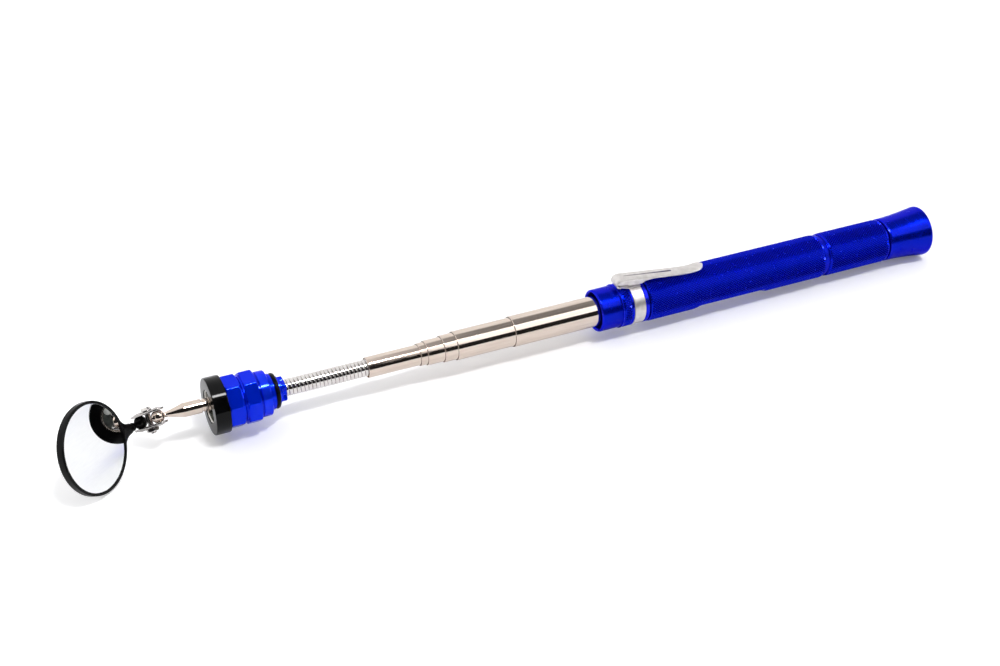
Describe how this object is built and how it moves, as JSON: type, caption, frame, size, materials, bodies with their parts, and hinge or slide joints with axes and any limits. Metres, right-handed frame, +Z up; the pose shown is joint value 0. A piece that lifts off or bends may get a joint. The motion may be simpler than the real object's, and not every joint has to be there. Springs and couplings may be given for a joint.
{
  "type": "telescoping inspection mirror",
  "caption": "Pocket inspection mirror: round mirror on a double ball joint, magnetic stem, lamp head, bendable neck, telescoping tubes and a knurled handle with a clip.",
  "frame": {"origin": "the centre of the flat tail face of the handle, on the tool's long axis", "axes": "+X along the tool from the lamp head towards the tail; +Z up with the tool lying down and its clip on top; +Y to the tool's left seen from its tail"},
  "size_m": [0.3502, 0.0321, 0.0306],
  "materials": {
    "blue_anodised": "deep royal-blue anodised aluminium, turned, with a fine diamond knurl on the grip",
    "nickel_steel": "bright nickel-plated steel tube, finely drawn along its length",
    "chrome": "bright chrome plating",
    "black_plate": "gloss black, almost mirror smooth",
    "black_rubber": "matt black nitrile",
    "brass": "satin brass",
    "lens_plastic": "clear to milky moulded lamp lens",
    "board": "white solder mask",
    "silvered_glass": "first-quality silvered glass",
    "magnet_nickel": "nickel-plated neodymium magnet"
  },
  "bodies": {
    "handle": {"barrel": "blue_anodised", "mouth_bush": "brass", "tail_cap": "blue_anodised", "tail_magnet": "magnet_nickel"},
    "clip_ring": {"clip_band": "chrome"},
    "clip_lever": {"clip_arm": "chrome"},
    "tube_6_body": {"tube_6": "nickel_steel", "guide_ring_6": "brass"},
    "tube_5_body": {"tube_5": "nickel_steel", "guide_ring_5": "brass"},
    "tube_4_body": {"tube_4": "nickel_steel", "guide_ring_4": "brass"},
    "tube_3_body": {"tube_3": "nickel_steel", "guide_ring_3": "brass"},
    "tube_2_body": {"tube_2": "nickel_steel", "guide_ring_2": "brass"},
    "tube_1_body": {"tube_1": "nickel_steel", "guide_ring_1": "brass"},
    "neck_base": {"neck_rear_ferrule": "nickel_steel"},
    "neck_1": {"neck_segment_1": "chrome"},
    "neck_2": {"neck_segment_2": "chrome"},
    "neck_3": {"neck_segment_3": "chrome"},
    "neck_4": {"neck_segment_4": "chrome"},
    "neck_5": {"neck_segment_5": "chrome"},
    "neck_6": {"neck_segment_6": "chrome"},
    "lamp_rear": {"battery_housing": "blue_anodised", "head_o_ring": "black_rubber", "head_end_cap": "blue_anodised", "neck_front_ferrule": "nickel_steel", "button_cell_1": "chrome", "button_cell_2": "chrome", "button_cell_3": "chrome"},
    "lamp_front": {"head_bezel": "black_plate", "lamp_ring": "brass", "lamp_board": "board", "led_1": "lens_plastic", "led_2": "lens_plastic", "led_3": "lens_plastic", "centre_magnet": "magnet_nickel", "lamp_housing": "blue_anodised", "contact_spring": "brass"},
    "foot": {"stem_foot": "nickel_steel"},
    "stem": {"mirror_stem": "nickel_steel"},
    "link": {"joint_plate_upper": "chrome", "joint_plate_lower": "chrome", "joint_screw": "chrome", "joint_nut": "chrome"},
    "stud": {"ball_stud": "black_plate"},
    "mirror": {"mirror_frame": "black_plate", "mirror_glass": "silvered_glass"}
  },
  "joints": [
    {"name": "clip_turn", "type": "hinge", "parent": "handle", "child": "clip_ring", "pos_m": [-0.1315, 0, 0], "axis": [1, 0, 0], "continuous": true},
    {"name": "clip_flex", "type": "hinge", "parent": "clip_ring", "child": "clip_lever", "pos_m": [-0.1326, -0.00102, 0.00975], "axis": [0, -0.9945, -0.1045], "range_deg": [0, 8], "stiffness_Nm_per_rad": 0.8},
    {"name": "tube_6_slide", "type": "slide", "parent": "handle", "child": "tube_6_body", "axis": [-1, 0, 0], "range_m": [-0.0707, 0.0225]},
    {"name": "tube_5_slide", "type": "slide", "parent": "tube_6_body", "child": "tube_5_body", "axis": [-1, 0, 0], "range_m": [-0.0226, 0.0449]},
    {"name": "tube_4_slide", "type": "slide", "parent": "tube_5_body", "child": "tube_4_body", "axis": [-1, 0, 0], "range_m": [-0.005, 0.0625]},
    {"name": "tube_3_slide", "type": "slide", "parent": "tube_4_body", "child": "tube_3_body", "axis": [-1, 0, 0], "range_m": [-0.0064, 0.0611]},
    {"name": "tube_2_slide", "type": "slide", "parent": "tube_3_body", "child": "tube_2_body", "axis": [-1, 0, 0], "range_m": [-0.0026, 0.0649]},
    {"name": "tube_1_slide", "type": "slide", "parent": "tube_2_body", "child": "tube_1_body", "axis": [-1, 0, 0], "range_m": [-0.0198, 0.0477]},
    {"name": "neck_spin", "type": "hinge", "parent": "tube_1_body", "child": "neck_base", "pos_m": [-0.2378, 0, 0], "axis": [1, 0, 0], "continuous": true},
    {"name": "neck_bend_1", "type": "hinge", "parent": "neck_base", "child": "neck_1", "pos_m": [-0.2378, 0, 0], "axis": [0, 0, 1], "range_deg": [0, 12.86]},
    {"name": "neck_bend_2", "type": "hinge", "parent": "neck_1", "child": "neck_2", "pos_m": [-0.2428, 0, 0], "axis": [0, 0, 1], "range_deg": [0, 12.86]},
    {"name": "neck_bend_3", "type": "hinge", "parent": "neck_2", "child": "neck_3", "pos_m": [-0.2478, 0, 0], "axis": [0, 0, 1], "range_deg": [0, 12.86]},
    {"name": "neck_bend_4", "type": "hinge", "parent": "neck_3", "child": "neck_4", "pos_m": [-0.2528, 0, 0], "axis": [0, 0, 1], "range_deg": [0, 12.86]},
    {"name": "neck_bend_5", "type": "hinge", "parent": "neck_4", "child": "neck_5", "pos_m": [-0.2578, 0, 0], "axis": [0, 0, 1], "range_deg": [0, 12.86]},
    {"name": "neck_bend_6", "type": "hinge", "parent": "neck_5", "child": "neck_6", "pos_m": [-0.2628, 0, 0], "axis": [0, 0, 1], "range_deg": [0, 12.86]},
    {"name": "neck_bend_7", "type": "hinge", "parent": "neck_6", "child": "lamp_rear", "pos_m": [-0.2678, 0, 0], "axis": [0, 0, 1], "range_deg": [0, 12.86]},
    {"name": "lamp_twist", "type": "hinge", "parent": "lamp_rear", "child": "lamp_front", "pos_m": [-0.2842, 0, 0], "axis": [-1, 0, 0], "range_deg": [0, 90]},
    {"name": "stem_pull", "type": "slide", "parent": "lamp_front", "child": "foot", "axis": [-1, 0, 0], "range_m": [0, 0.012]},
    {"name": "stem_spin", "type": "hinge", "parent": "foot", "child": "stem", "pos_m": [-0.3129, 0.0006, 0.00085], "axis": [-1, 0, 0], "continuous": true},
    {"name": "link_swing", "type": "hinge", "parent": "stem", "child": "link", "pos_m": [-0.3129, 0.0006, 0.00085], "axis": [-0.1045, 0.5846, 0.8046], "range_deg": [-6, 114]},
    {"name": "mirror_swing", "type": "hinge", "parent": "link", "child": "stud", "pos_m": [-0.3181, 0.0061, -0.00382], "axis": [-0.1045, 0.5846, 0.8046], "range_deg": [-154, 6]},
    {"name": "mirror_roll", "type": "hinge", "parent": "stud", "child": "mirror", "pos_m": [-0.3181, 0.0061, -0.00382], "axis": [-0.7467, -0.6251, 0.2272], "continuous": true}
  ]
}
